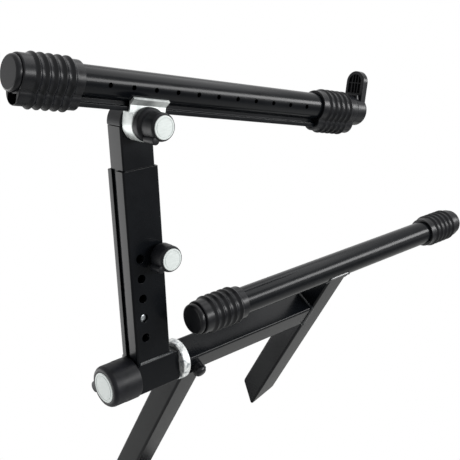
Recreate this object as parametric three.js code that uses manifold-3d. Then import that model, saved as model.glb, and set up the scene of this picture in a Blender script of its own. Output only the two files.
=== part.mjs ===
// Folding keyboard stand with a second tier: two braced leg frames that cross like an X, each with a
// support arm, and on each frame a swivelling post whose clamped rail tube carries the upper keyboard.
// Millimetres, +Z up. X runs across the stand, the player stands on the -Y side, and the origin is the
// middle of the footprint on the floor. The left side is at -X; the right side mirrors it.
import * as THREE from 'three';
import { mergeVertices } from 'three/addons/utils/BufferGeometryUtils.js';
import Module from 'manifold-3d';

const wasm = await Module();
wasm.setup();

// ---- Driving dimensions ----
const touchGap = 0.3;            // gap left between pieces that touch or are welded
const runGap = 0.5;              // gap left between pieces that slide or turn on each other

const legLean = 30.6;            // each leg leans this far from upright, degrees
const legSpan = 1100;            // foot tube axis to support tube axis, along the leg
const legSize = 32;              // square leg and crossbar tube
const legWall = 1.5;
const legShort = 9.6;            // the leg's cut ends stop this far from the round tubes' axes
const leftMainLegY = -218;       // centre of the left frame's main leg
const leftBraceLegY = -11.5;     // centre of the left frame's brace leg
const lockPlateThick = 5;
const lockPlateRadius = 62;
const lockGrooveRadius = 48;
const lockGrooveDepth = 2;
const lockPinRadius = 4;
const lockHoleCount = 5;
const lockHoleStep = 20;         // degrees between the fold's locked positions
const triggerWidth = 26;
const triggerHeight = 44;
const triggerThick = 13;
const pivotRadius = 6;
const pivotHeadRadius = 11;
const pivotHeadThick = 7;

const tubeRadius = 16;           // support tubes, foot tubes and rail tubes
const tubeWall = 1.5;
const armLength = 494.5;         // support arm, end to end over its caps
const armBackY = 14.5;           // back end of the support arm
const footHeight = 20;           // foot tube axis above the floor
const footLength = 520;
const footBackY = 105;

const capWall = 3.4;             // rubber cap: radius of the smooth band is the tube's plus this
const capLength = 71;
const capEndThick = 6;
const capRibs = 5;
const ribPitch = 9.2;
const ribRise = 3.2;
const capBevel = 3;
const capGroove = 1.6;           // groove behind the end disc: its depth, its place and where the band starts
const capGrooveAt = 8.5;
const capBandAt = 10;
const capLip = 8;                // smooth lip between the last rib and the open end
const capLipRound = 1;

const crossbarDrop = 76;         // crossbar axis below the support tube axis, along the leg
const crossbarEndY = 4.7;
const ringRadius = 24;
const ringThick = 10;
const ringPlugDepth = 22;
const buttonRadius = 7.5;
const buttonRise = 13;
const buttonFlange = 7;          // the button's wider rim starts this far off the crossbar's side
const buttonFromEnd = 17.2;      // retaining button's centre ahead of the crossbar's back end
const buttonDrop = 5.5;          // and below the crossbar's axis

const postLean = 2.95;           // the post leans in towards the middle, degrees
const sleeveWidth = 46;          // along Y
const sleeveDepth = 30;          // along X
const sleeveWall = 2;
const sleeveTop = 238.5;         // above the swivel axis
const slotWidth = 7.3;
const slotOffset = 3;            // slot centre inward of the sleeve's centre
const boxHeight = 37;
const boxWall = 3;
const boxNose = 11.5;            // the base box reaches this far forward of the sleeve
const studRadius = 5;

const holeCount = 5;
const holeRadius = 5;
const holePitch = 23.1;
const lowestHole = 48.2;         // above the swivel axis
const holeSetBack = 9.5;         // hole column behind the sleeve's centre
const buttonHole = 1;            // the snap button sits in this hole, counted up from the lowest
const snapRadius = 4.5;

const boltRise = 287.5;          // tilt bolt axis above the swivel axis
const postBottom = 43;           // foot of the inner post above the swivel axis
const postWall = 2;
const capSeatDrop = 2;           // joint between post and moulded cap, below the bolt axis
const capPlug = 16;              // depth of the cap's plug in the post

const baseKnobRadius = 24;
const baseKnobLength = 36.5;
const baseDiscRadius = 17.2;
const knobRadius = 15;
const knobLength = 20;
const knobDiscRadius = 12.2;
const discThick = 1.2;
const skirtRadius = 18;
const skirtLength = 9.5;
const lugRadius = 4.6;
const lugOut = 0.6;              // lug centre outside the grip's own radius
const baseLugRadius = 6.5;
const baseLugOut = 0.5;
const lugShort = 1.5;            // the lug stops this far short of the grip at both ends
const baseLugAngle = 20;         // where each knob's lug points at rest, degrees round the knob
const heightLugAngle = 124;
const tiltLugAngle = 141;
const heightKnobNeck = 4;
const heightKnobY = -15.2;       // from the sleeve's centre
const heightKnobRise = 139.3;

const railTilt = 12;             // rail tube, back end up, degrees
const railOffset = 21.1;         // rail tube axis outward of the post's centre
const railRise = 36.6;           // rail tube axis above the tilt bolt, square to the tube
const railTubeLength = 492;      // rail tube assembly, back cap face to front end
const railBackReach = 153;       // back cap face behind the tilt bolt, along the tube
const railWidth = 13;
const railWeb = 6;
const railThick = 5;
const railDrop = 25;             // underside of the rail below the tube's axis
const sideHoleCount = 11;
const sideHoleRadius = 2.6;
const sideHolePitch = 28;
const firstSideHole = 52.4;      // first side hole behind the bolt, along the tube
const sideHoleDrop = 1.2;        // hole row below the tube's axis
const railCapLength = 71;
const lobeRoom = 4;              // room round the rail inside the cap's lower lobe
const lobeWall = 2.4;

const jawLength = 45;
const jawThick = 17.6;
const jawRadius = 18.5;
const jawLipThick = 3.2;
const jawLipTop = -12;           // top of the lip, from the tube's axis
const jawLipFoot = 222;          // where the lip's outer round meets its straight flank, degrees
const nutRadius = 9;
const nutThick = 6;

const stopBarrelRadius = 18.5;
const stopBarrelLength = 18.5;
const stopHeight = 50;           // top of the paddle above the tube's axis
const stopWidth = 28;
const stopThick = 9;
const stopRecess = 3;
const stopRim = 4;
const stopSet = 2;               // paddle's front face behind the barrel's end

const tubeSides = 24;            // facets round a tube, a cap, a knob and a small pin
const capSides = 16;
const keyholeSides = 22;
const keyholeCrowd = 0.45;
const knobSides = 20;
const pinSides = 10;

// ---- Values that follow ----
const halfSpan = legSpan / 2;
const rad = THREE.MathUtils.degToRad;
const pivotHeight = footHeight + halfSpan * Math.cos(rad(legLean));
const frameGap = lockPlateThick + 2 * touchGap + runGap;
const frameStep = legSize + frameGap;
const rightMainLegY = leftMainLegY + frameStep;
const rightBraceLegY = leftBraceLegY - frameStep;
const crossbarAt = halfSpan - crossbarDrop;
const ringFrontY = crossbarEndY + touchGap;
const boxFrontY = ringFrontY + ringThick + touchGap;
const sleeveY = boxFrontY + boxNose + sleeveWidth / 2;
const boxBackY = sleeveY + sleeveWidth / 2;
const postWidth = sleeveWidth - 2 * (sleeveWall + runGap);
const postDepth = sleeveDepth - 2 * (sleeveWall + runGap);
const buttonRiseOnPost = lowestHole + buttonHole * holePitch;

// ---- Solids ----
function solid(geometry) {
  const bare = geometry.clone();
  bare.deleteAttribute('normal');
  bare.deleteAttribute('uv');
  const merged = mergeVertices(bare, 1e-4);
  const vertProperties = Float32Array.from(merged.attributes.position.array);
  const triVerts = Uint32Array.from(merged.index.array);
  const body = new wasm.Manifold(new wasm.Mesh({ numProp: 3, vertProperties, triVerts }));
  return body;
}

function geometryOf(body) {
  const mesh = body.getMesh();
  const geometry = new THREE.BufferGeometry();
  geometry.setAttribute('position', new THREE.BufferAttribute(Float32Array.from(mesh.vertProperties), 3));
  geometry.setIndex(Array.from(mesh.triVerts));
  return geometry;
}

function cut(geometry, ...tools) {
  return geometryOf(tools.reduce((body, tool) => body.subtract(solid(tool)), solid(geometry)));
}

function join(geometry, ...others) {
  return geometryOf(others.reduce((body, other) => body.add(solid(other)), solid(geometry)));
}

function mirrored(geometry) {
  const flipped = geometry.index ? geometry.clone() : mergeVertices(geometry, 1e-4);
  flipped.scale(-1, 1, 1);
  const order = flipped.index.array;
  for (let i = 0; i < order.length; i += 3) {
    [order[i + 1], order[i + 2]] = [order[i + 2], order[i + 1]];
  }
  return flipped;
}

const box = (sx, sy, sz, x = 0, y = 0, z = 0) => new THREE.BoxGeometry(sx, sy, sz).translate(x, y, z);

// A box given by its low and high corners.
function span(x0, x1, y0, y1, z0, z1) {
  return box(x1 - x0, y1 - y0, z1 - z0, (x0 + x1) / 2, (y0 + y1) / 2, (z0 + z1) / 2);
}

const rodZ = (radius, z0, z1, sides = pinSides) =>
  new THREE.CylinderGeometry(radius, radius, z1 - z0, sides).rotateX(Math.PI / 2).translate(0, 0, (z0 + z1) / 2);
const rodY = (radius, y0, y1, sides = pinSides) =>
  new THREE.CylinderGeometry(radius, radius, y1 - y0, sides).translate(0, (y0 + y1) / 2, 0);
const rodX = (radius, x0, x1, sides = pinSides) =>
  new THREE.CylinderGeometry(radius, radius, x1 - x0, sides).rotateZ(Math.PI / 2).translate((x0 + x1) / 2, 0, 0);

// A solid of revolution about Z from [radius, z] points, first and last on the axis.
function turned(points, sides = knobSides) {
  const profile = points.map(([r, z]) => new THREE.Vector2(r, z));
  return new THREE.LatheGeometry(profile, sides).rotateX(Math.PI / 2);
}

// An outline in X and Z, run along Y from y0 to y1.
function runAlongY(shape, y0, y1) {
  const run = new THREE.ExtrudeGeometry(shape, { depth: y1 - y0, bevelEnabled: false, curveSegments: 10 });
  return run.rotateX(Math.PI / 2).translate(0, y1, 0);
}

function outline(points) {
  return new THREE.Shape(points.map(([x, z]) => new THREE.Vector2(x, z)));
}

// A cup over a tube's end: rings of points along Y, from the closed end's middle over the outside,
// round the rim and back inside. Each station is [distance from the closed end, growth, inside];
// crowd draws a ring's points together at the bottom.
function cup(outerRadius, innerRadius, stations, closedY, direction, sides, crowd) {
  const points = [];
  const faces = [];
  const ring = (distance, growth, inside) => {
    for (let k = 0; k < sides; k += 1) {
      const turn = (2 * Math.PI * k) / sides;
      const angle = turn - crowd * Math.sin(turn);
      const radius = (inside ? innerRadius(angle) : outerRadius(angle)) + growth;
      points.push(radius * Math.sin(angle), closedY - direction * distance, -radius * Math.cos(angle));
    }
  };
  points.push(0, closedY, 0);
  stations.forEach(([distance, growth, inside]) => ring(distance, growth, inside));
  const last = stations[stations.length - 1][0];
  points.push(0, closedY - direction * last, 0);
  const end = points.length / 3 - 1;
  const at = (row, k) => 1 + row * sides + (k % sides);
  for (let k = 0; k < sides; k += 1) {
    faces.push(0, at(0, k + 1), at(0, k));
    for (let row = 0; row + 1 < stations.length; row += 1) {
      faces.push(at(row, k), at(row, k + 1), at(row + 1, k + 1), at(row, k), at(row + 1, k + 1), at(row + 1, k));
    }
    faces.push(end, at(stations.length - 1, k), at(stations.length - 1, k + 1));
  }
  const geometry = new THREE.BufferGeometry();
  geometry.setAttribute('position', new THREE.Float32BufferAttribute(points, 3));
  geometry.setIndex(direction > 0 ? faces : faces.slice().reverse());
  return geometry;
}

// Ribbed cap: bevelled end disc, a groove, a smooth band, the ribs, and a lip at the open end.
function ribbedCap(outer, inner, length, closedY, direction, sides, crowd = 0) {
  const stations = [[0, -capBevel], [capBevel, 0], [capGrooveAt, -capGroove], [capBandAt, 0]];
  const ribsStart = length - capLip - capRibs * ribPitch;
  stations.push([ribsStart, 0]);
  for (let rib = 0; rib < capRibs; rib += 1) {
    const at = ribsStart + rib * ribPitch;
    stations.push([at + ribPitch / 2, ribRise], [at + ribPitch, 0]);
  }
  stations.push([length - capLipRound, 0], [length, -capLipRound], [length, 0, true], [capEndThick, 0, true]);
  return cup(outer, inner, stations, closedY, direction, sides, crowd);
}

const roundOutline = (radius) => () => radius;

// Radius at a faceted bore's corners so that its flats still clear the tube.
const boreOver = (sides, crowd = 0) => (tubeRadius + touchGap) / Math.cos((Math.PI / sides) * (1 + crowd));

// Polar outline of a tube with the rail's round-cornered lobe under it; angle 0 points down.
function keyhole(radius, lobeRadius, lobeBottom) {
  const reach = lobeBottom - lobeRadius;
  return (angle) => {
    const side = reach * Math.sin(angle);
    if (Math.cos(angle) <= 0 || Math.abs(side) >= lobeRadius) return radius;
    return Math.max(radius, reach * Math.cos(angle) + Math.sqrt(lobeRadius ** 2 - side ** 2));
  };
}

// Open round tube whose ends stop short of the closed ends of the caps at y0 and y1.
function tubeUnderCaps(capY0, capY1) {
  const y0 = capY0 + capEndThick + touchGap;
  const y1 = capY1 - capEndThick - touchGap;
  return cut(rodY(tubeRadius, y0, y1, tubeSides), rodY(tubeRadius - tubeWall, y0 - 1, y1 + 1, tubeSides));
}

// Square tube run along Z or Y, hollow and open at both ends.
function squareTube(y, z0, z1) {
  const half = legSize / 2;
  const bore = half - legWall;
  return cut(
    span(-half, half, y - half, y + half, z0, z1),
    span(-bore, bore, y - bore, y + bore, z0 - 1, z1 + 1),
  );
}

// ---- Leg frame, about the pivot, Z along the leg ----
function leg(y, top, pinHole) {
  const coped = tubeRadius + touchGap;
  const tools = [
    rodY(coped, y - legSize, y + legSize, tubeSides).translate(0, 0, -halfSpan),
    rodY(pivotRadius + runGap, y - legSize, y + legSize),
  ];
  if (top > halfSpan - legSize) {
    tools.push(rodY(coped, y - legSize, y + legSize, tubeSides).translate(0, 0, halfSpan));
  }
  if (pinHole) {
    tools.push(rodY(lockPinRadius + runGap, y - legSize, y + legSize).translate(0, 0, -lockGrooveRadius));
  }
  const low = legShort - halfSpan;
  return cut(squareTube(y, low, top), ...tools);
}

function crossbar(mainLegY) {
  const half = legSize / 2;
  const bore = half - legWall;
  const y0 = mainLegY + half + touchGap;
  return cut(
    span(-half, half, y0, crossbarEndY, -half, half),
    span(-bore, bore, y0 - 1, crossbarEndY + 1, -bore, bore),
  );
}

// Toothed ring that the post's base box locks against, with its plug in the crossbar's end.
function clutchRing() {
  const bore = legSize / 2 - legWall - touchGap;
  const plugY = crossbarEndY - ringPlugDepth;
  const ring = rodY(ringRadius, ringFrontY, ringFrontY + ringThick, tubeSides);
  return cut(
    join(ring, span(-bore, bore, plugY, ringFrontY + 1, -bore, bore)),
    rodY(studRadius + runGap, plugY - 1, boxFrontY),
  );
}

// Round button with a wider rim on the crossbar's outer side, over the brace leg's joint.
function retainingButton() {
  const rim = buttonRadius + 1;
  const dome = turned([[0, 0], [buttonRadius, 0], [buttonRadius, buttonFlange], [rim, buttonFlange + 0.6],
    [rim, buttonFlange + 1.6], [buttonRadius, buttonFlange + 2], [buttonRadius - 1.5, buttonRise - 1.4],
    [buttonRadius - 4, buttonRise], [0, buttonRise]]);
  return outward(dome).translate(-legSize / 2 - touchGap, crossbarEndY - buttonFromEnd, -buttonDrop);
}

function lockPlate() {
  const y0 = leftMainLegY + legSize / 2 + touchGap;
  const y1 = y0 + lockPlateThick;
  const groove = cut(
    rodY(lockGrooveRadius + lockPinRadius + runGap, y1 - lockGrooveDepth, y1 + 1, tubeSides),
    rodY(lockGrooveRadius - lockPinRadius - runGap, y1 - lockGrooveDepth - 1, y1 + 2, tubeSides),
  );
  const holes = [];
  for (let k = 0; k < lockHoleCount; k += 1) {
    const hole = rodY(lockPinRadius + runGap, y0 - 1, y1 + 1).translate(0, 0, -lockGrooveRadius);
    holes.push(hole.rotateY(rad(2 * legLean + (k - (lockHoleCount - 1) / 2) * lockHoleStep)));
  }
  const disc = rodY(lockPlateRadius, y0, y1, tubeSides);
  return cut(disc, rodY(pivotRadius + touchGap, y0 - 1, y1 + 1), groove, ...holes);
}

// Sprung pull handle of the fold lock, with its pin through the right main leg.
function lockTrigger() {
  const legBack = rightMainLegY + legSize / 2;
  const y0 = legBack + touchGap;
  const pinEnd = leftMainLegY + legSize / 2 + touchGap + lockPlateThick - lockGrooveDepth + touchGap;
  const half = triggerWidth / 2;
  const grip = new THREE.Shape();
  grip.absarc(0, triggerHeight / 2 - half, half, 0, Math.PI, false);
  grip.absarc(0, half - triggerHeight / 2, half, Math.PI, 2 * Math.PI, false);
  const handle = runAlongY(grip, y0, y0 + triggerThick);
  const scoop = rodX(9, -triggerWidth, triggerWidth).translate(0, y0 + triggerThick + 4.5, -2);
  return join(cut(handle, scoop), rodY(lockPinRadius, pinEnd, y0 + 1)).translate(0, 0, -lockGrooveRadius);
}

function pivotAxle() {
  const y0 = leftMainLegY - legSize / 2 - touchGap;
  const y1 = leftBraceLegY + legSize / 2 + touchGap + pivotHeadThick;
  return join(rodY(pivotRadius, y0 - 1, y1), rodY(pivotHeadRadius, y0 - pivotHeadThick, y0, knobSides));
}

function pivotNut() {
  const y0 = leftBraceLegY + legSize / 2 + touchGap;
  const nut = rodY(pivotHeadRadius, y0, y0 + pivotHeadThick, 6);
  return cut(nut, rodY(pivotRadius + touchGap, y0 - 1, y0 + pivotHeadThick + 1));
}

// ---- Post, about the swivel axis, Z up the post, -X outward ----
function baseBox() {
  const half = sleeveDepth / 2;
  const rise = boxHeight / 2;
  const room = half - boxWall;
  const roomRise = rise - boxWall;
  return cut(
    span(-half, half, boxFrontY, boxBackY, -rise, rise),
    span(-room, room, boxFrontY + boxWall, boxBackY - boxWall, -roomRise, roomRise),
    rodY(studRadius + runGap, boxFrontY - 1, boxBackY + 1),
  );
}

function sleeve() {
  const halfX = sleeveDepth / 2;
  const halfY = sleeveWidth / 2;
  const roomX = halfX - sleeveWall;
  const roomY = halfY - sleeveWall;
  const bottom = boxHeight / 2 + touchGap;
  const tools = [
    span(-roomX, roomX, -roomY, roomY, bottom - 1, sleeveTop + 1),
    span(slotOffset - slotWidth / 2, slotOffset + slotWidth / 2, 0, halfY + 1, bottom - 1, sleeveTop + 1),
    rodX(studRadius + runGap, -halfX - 1, 0).translate(0, heightKnobY, heightKnobRise),
  ];
  for (let k = 0; k < holeCount; k += 1) {
    tools.push(rodX(holeRadius, -halfX - 1, 0).translate(0, holeSetBack, lowestHole + k * holePitch));
  }
  return cut(span(-halfX, halfX, -halfY, halfY, bottom, sleeveTop), ...tools).translate(0, sleeveY, 0);
}

// Turned grip knob about Z: seat at z = 0, grip outward, one lug, a recess for the disc, and its stud.
function gripKnob({ radius, length, discRadius, lugSize, lugReach, lugAngle, skirt, neck, stud }) {
  const collar = skirt ? [[0, 0], [skirtRadius, 0], [skirtRadius, skirtLength - 2.5], [radius + 1, skirtLength]]
    : neck ? [[0, 0], [studRadius + 4, 0], [studRadius + 4, neck], [radius - 1, neck + 0.3]]
      : [[0, 0], [radius - 2, 0]];
  const start = skirt ? skirtLength : neck || 0;
  const top = start + length;
  const grip = turned([...collar, [radius, start + 2], [radius, top - 3], [radius - 0.9, top - 0.9],
    [discRadius + 1, top], [discRadius + touchGap, top], [discRadius + touchGap, top - discThick],
    [0, top - discThick]]);
  const lug = rodZ(lugSize, start + lugShort, top - lugShort);
  const ca = Math.cos(lugAngle);
  const sa = Math.sin(lugAngle);
  const arm = radius + lugReach;
  const web = span(-lugSize, lugSize, 0, arm, start + lugShort, top - lugShort);
  web.rotateZ(lugAngle - Math.PI / 2);
  const pocket = rodZ(discRadius + touchGap, top - discThick, top + 1, knobSides);
  return join(cut(join(grip, lug.translate(arm * ca, arm * sa, 0), web), pocket), rodZ(studRadius, -stud, 1));
}

function knobDisc(discRadius, start, length) {
  const top = start + length;
  return rodZ(discRadius, top - discThick + touchGap, top + discThick - touchGap, knobSides);
}

// Knob parts are made about Z and turned to point outward (-X) or back (+Y).
const outward = (geometry) => geometry.rotateY(-Math.PI / 2);
const backward = (geometry) => geometry.rotateX(-Math.PI / 2);

function innerPost() {
  const halfX = postDepth / 2;
  const halfY = postWidth / 2;
  return cut(
    span(-halfX, halfX, -halfY, halfY, postBottom, boltRise - capSeatDrop),
    span(postWall - halfX, halfX - postWall, postWall - halfY, halfY - postWall, postBottom - 1, boltRise),
    rodX(snapRadius + runGap, -halfX - 1, 0).translate(0, holeSetBack, buttonRiseOnPost),
    rodX(studRadius + runGap, -halfX - 1, halfX + 1).translate(0, 0, boltRise),
  ).translate(0, sleeveY, 0);
}

// Half-round moulded cap that the tilt bolt passes through, with its plug down the post.
function postCap() {
  const halfX = postDepth / 2;
  const halfY = postWidth / 2;
  const seat = boltRise - capSeatDrop + touchGap;
  const crown = rodX(halfY, -halfX, halfX, tubeSides).translate(0, 0, boltRise);
  const shank = span(-halfX, halfX, -halfY, halfY, seat, boltRise);
  const inset = postWall + touchGap;
  const plug = span(inset - halfX, halfX - inset, inset - halfY, halfY - inset, seat - capPlug, seat + 2);
  const lower = span(-halfX - 1, halfX + 1, -halfY - 1, halfY + 1, seat - 2 * halfY, seat);
  return cut(
    join(cut(crown, lower), shank, plug),
    rodX(studRadius + runGap, -halfX - 1, halfX + 1).translate(0, 0, boltRise),
  ).translate(0, sleeveY, 0);
}

// Sprung button behind the sleeve's hole: a round nose through the post's wall, on a flat foot inside it.
// Its tip stays inside the sleeve's wall, where the post can slide past the holes.
function snapButton() {
  const tip = postWall + touchGap + runGap / 2;
  const dome = [[0, 0], [snapRadius, 0], [snapRadius, tip - 0.6], [snapRadius - 1.2, tip], [0, tip]];
  const nose = turned(dome, pinSides);
  const foot = rodZ(snapRadius + 2.5, -2.5, 0.01);
  const seat = -postDepth / 2 + postWall + touchGap;
  return outward(join(nose, foot)).translate(seat, sleeveY + holeSetBack, buttonRiseOnPost);
}

// ---- Rail tube, about the tilt bolt, Y along the tube, Z square to it ----
function railTube() {
  const back = railBackReach - capEndThick - touchGap;
  const front = railBackReach - railTubeLength + stopBarrelLength + touchGap;
  const half = railWidth / 2;
  const flangeTop = railThick - railDrop;
  const section = outline([[-railWeb / 2, 1 - tubeRadius], [-railWeb / 2, flangeTop], [-half, flangeTop],
    [-half, -railDrop + 1], [1 - half, -railDrop], [half - 1, -railDrop], [half, -railDrop + 1],
    [half, flangeTop], [railWeb / 2, flangeTop], [railWeb / 2, 1 - tubeRadius]]);
  const holes = [];
  for (let k = 0; k < sideHoleCount; k += 1) {
    const hole = rodX(sideHoleRadius, -tubeRadius - 1, -tubeRadius / 2, 8);
    holes.push(hole.translate(0, firstSideHole - k * sideHolePitch, -sideHoleDrop));
  }
  const tube = join(rodY(tubeRadius, front, back, tubeSides), runAlongY(section, front, back));
  return cut(tube, rodY(tubeRadius - tubeWall, front - 1, back + 1, tubeSides), ...holes);
}

// Cap over the rail tube: the back one is closed, the front one is a sleeve behind the stop's barrel.
function railCap(back) {
  const lobe = railWidth / 2 + lobeRoom;
  const inner = keyhole(boreOver(keyholeSides, keyholeCrowd), lobe, railDrop + 2);
  const outer = keyhole(tubeRadius + capWall, lobe + lobeWall, railDrop + 2 + lobeWall);
  if (back) return ribbedCap(outer, inner, railCapLength, railBackReach, 1, keyholeSides, keyholeCrowd);
  const front = railBackReach - railTubeLength + stopBarrelLength;
  const cap = ribbedCap(outer, inner, railCapLength, front - capEndThick, -1, keyholeSides, keyholeCrowd);
  return cut(cap, span(-40, 40, front - 20, front + touchGap, -60, 60));
}

// Clamp jaw: half-round block about the bolt, a pocket for the rail, and a lip that hugs the tube.
function clampJaw() {
  const face = postDepth / 2 + touchGap;
  const outerFace = -face - jawThick;
  const axis = [-railOffset, railRise];
  const pocketTop = railRise - railDrop - touchGap;
  const shape = new THREE.Shape();
  shape.absarc(0, 0, jawRadius, Math.PI, 2 * Math.PI, false);
  shape.lineTo(jawRadius, pocketTop);
  shape.lineTo(-jawRadius, pocketTop);
  const block = new THREE.ExtrudeGeometry(shape, { depth: jawThick, bevelEnabled: false, curveSegments: 12 });
  block.rotateX(Math.PI / 2).rotateZ(Math.PI / 2).translate(outerFace, 0, 0);
  const hug = tubeRadius + touchGap;
  const lip = new THREE.Shape();
  const railSide = -railWidth / 2 - runGap;
  const low = Math.PI + Math.acos(-railSide / hug);
  const high = Math.PI + Math.asin(-jawLipTop / (hug + jawLipThick));
  lip.moveTo(railSide, pocketTop - railRise - 1);
  lip.lineTo(railSide, hug * Math.sin(low));
  lip.absarc(0, 0, hug, low, high, true);
  lip.absarc(0, 0, hug + jawLipThick, high, rad(jawLipFoot), false);
  lip.lineTo(outerFace - axis[0], skirtRadius + runGap - railRise);
  lip.lineTo(outerFace - axis[0], pocketTop - railRise - 1);
  const hood = runAlongY(lip, -jawLength / 2, jawLength / 2).translate(axis[0], 0, axis[1]);
  return cut(join(block, hood), rodX(studRadius + runGap, outerFace - 1, -face + 1));
}

// End stop: round barrel on the tube's front end with an upright paddle, recessed on its back face.
function endStop() {
  const front = railBackReach - railTubeLength;
  const barrel = rodY(stopBarrelRadius, front, front + stopBarrelLength, tubeSides);
  const half = stopWidth / 2;
  const panel = new THREE.Shape();
  panel.absarc(0, stopHeight - half, half, 0, Math.PI, false);
  panel.lineTo(-half, 0);
  panel.lineTo(half, 0);
  const recess = new THREE.Shape();
  recess.absarc(0, stopHeight - half, half - stopRim, 0, Math.PI, false);
  recess.lineTo(stopRim - half, stopBarrelRadius + stopRim);
  recess.lineTo(half - stopRim, stopBarrelRadius + stopRim);
  const paddle = runAlongY(panel, front + stopSet, front + stopSet + stopThick);
  const hollow = runAlongY(recess, front + stopSet + stopThick - stopRecess, front + stopSet + stopThick + 1);
  return join(barrel, cut(paddle, hollow));
}

// ---- Finishes ----
const finish = (color, roughness, metalness) =>
  () => new THREE.MeshStandardMaterial({ color, roughness, metalness });
const blackCoat = finish(0x1c1f23, 0.42, 0.1);
const rubber = finish(0x232427, 0.75, 0);
const knobPlastic = finish(0x26282b, 0.55, 0);
const paleDisc = finish(0xe0e5e3, 0.45, 0);
const zinc = finish(0xa9acae, 0.5, 0.8);
const castAluminium = finish(0xc9cdcb, 0.45, 0.85);
const steel = finish(0x8e9296, 0.35, 0.9);

const stand = new THREE.Group();

function hang(parent, name, geometry, material) {
  const piece = new THREE.Mesh(geometry, material());
  piece.name = name;
  parent.add(piece);
}

function group(parent, x, y, z) {
  const inner = new THREE.Group();
  inner.position.set(x, y, z);
  parent.add(inner);
  return inner;
}

// One side of the stand: hand is -1 on the left and 1 on the right, which mirrors the left.
function buildSide(side, hand, mainLegY, braceLegY, pinHole) {
  const add = (parent, name, geometry, material) => {
    hang(parent, `${side}_${name}`, hand < 0 ? geometry : mirrored(geometry), material);
  };
  const frame = group(stand, 0, 0, pivotHeight);
  frame.rotation.y = rad(hand * legLean);
  const underBar = crossbarAt - legSize / 2 - touchGap;
  const armFrontY = armBackY - armLength;

  add(frame, 'main_leg', leg(mainLegY, halfSpan - legShort, pinHole), blackCoat);
  add(frame, 'brace_leg', leg(braceLegY, underBar, false), blackCoat);
  const bar = group(frame, 0, 0, crossbarAt);
  add(bar, 'crossbar', crossbar(mainLegY), blackCoat);
  add(bar, 'clutch_ring', clutchRing(), zinc);
  add(bar, 'retaining_button', retainingButton(), rubber);

  const round = roundOutline(tubeRadius + capWall);
  const bore = roundOutline(boreOver(capSides));
  const arm = group(frame, 0, 0, halfSpan);
  add(arm, 'support_tube', tubeUnderCaps(armFrontY, armBackY), blackCoat);
  add(arm, 'support_cap_back', ribbedCap(round, bore, capLength, armBackY, 1, capSides), rubber);
  add(arm, 'support_cap_front', ribbedCap(round, bore, capLength, armFrontY, -1, capSides), rubber);

  const foot = group(frame, 0, 0, -halfSpan);
  foot.rotation.y = -frame.rotation.y;
  const footFrontY = footBackY - footLength;
  const belowFloor = span(-60, 60, footFrontY - 10, footBackY + 10, -80, -footHeight);
  const footCap = (y, direction) => cut(ribbedCap(round, bore, capLength, y, direction, capSides), belowFloor);
  add(foot, 'foot_tube', tubeUnderCaps(footFrontY, footBackY), blackCoat);
  add(foot, 'foot_cap_back', footCap(footBackY, 1), rubber);
  add(foot, 'foot_cap_front', footCap(footFrontY, -1), rubber);

  const post = group(bar, 0, 0, 0);
  post.rotation.y = -hand * rad(postLean) - frame.rotation.y;
  add(post, 'base_box', baseBox(), blackCoat);
  add(post, 'sleeve', sleeve(), blackCoat);
  const knobSeat = boxBackY + touchGap;
  const baseStud = knobSeat - (crossbarEndY - ringPlugDepth + 2);
  const base = gripKnob({
    radius: baseKnobRadius, length: baseKnobLength, discRadius: baseDiscRadius,
    lugSize: baseLugRadius, lugReach: baseLugOut, lugAngle: rad(baseLugAngle), stud: baseStud,
  });
  add(post, 'base_knob', backward(base).translate(0, knobSeat, 0), knobPlastic);
  const baseDisc = backward(knobDisc(baseDiscRadius, 0, baseKnobLength));
  add(post, 'base_disc', baseDisc.translate(0, knobSeat, 0), paleDisc);

  const heightSeat = -sleeveDepth / 2 - touchGap;
  const heightY = sleeveY + heightKnobY;
  const height = gripKnob({
    radius: knobRadius, length: knobLength, discRadius: knobDiscRadius,
    lugSize: lugRadius, lugReach: lugOut, lugAngle: rad(heightLugAngle),
    neck: heightKnobNeck, stud: sleeveWall + runGap,
  });
  add(post, 'height_knob', outward(height).translate(heightSeat, heightY, heightKnobRise), knobPlastic);
  const heightDisc = outward(knobDisc(knobDiscRadius, heightKnobNeck, knobLength));
  add(post, 'height_disc', heightDisc.translate(heightSeat, heightY, heightKnobRise), paleDisc);

  add(post, 'inner_post', innerPost(), blackCoat);
  add(post, 'post_cap', postCap(), knobPlastic);
  add(post, 'snap_button', snapButton(), steel);

  const jawSeat = -postDepth / 2 - touchGap;
  const tiltSeat = jawSeat - jawThick - touchGap;
  const tiltStud = -tiltSeat + postDepth / 2 + touchGap + nutThick + 1;
  const tilt = gripKnob({
    radius: knobRadius, length: knobLength, discRadius: knobDiscRadius,
    lugSize: lugRadius, lugReach: lugOut, lugAngle: rad(tiltLugAngle), skirt: true, stud: tiltStud,
  });
  const bolt = group(post, 0, sleeveY, boltRise);
  add(bolt, 'tilt_knob', outward(tilt).translate(tiltSeat, 0, 0), knobPlastic);
  const tiltDisc = outward(knobDisc(knobDiscRadius, skirtLength, knobLength));
  add(bolt, 'tilt_disc', tiltDisc.translate(tiltSeat, 0, 0), paleDisc);
  const nutSeat = postDepth / 2 + touchGap;
  const nutBlank = rodX(nutRadius, nutSeat, nutSeat + nutThick, 6);
  const nut = cut(nutBlank, rodX(studRadius + touchGap, nutSeat - 1, nutSeat + nutThick + 1));
  add(bolt, 'tilt_nut', nut, steel);

  const head = group(bolt, 0, 0, 0);
  head.rotation.x = rad(railTilt);
  add(head, 'clamp_jaw', clampJaw(), castAluminium);
  const rail = group(head, hand * railOffset, 0, railRise);
  add(rail, 'rail_tube', railTube(), blackCoat);
  add(rail, 'rail_cap_back', railCap(true), rubber);
  add(rail, 'rail_cap_front', railCap(false), rubber);
  add(rail, 'end_stop', endStop(), rubber);
}

buildSide('left', -1, leftMainLegY, leftBraceLegY, false);
buildSide('right', 1, rightMainLegY, rightBraceLegY, true);

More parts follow.
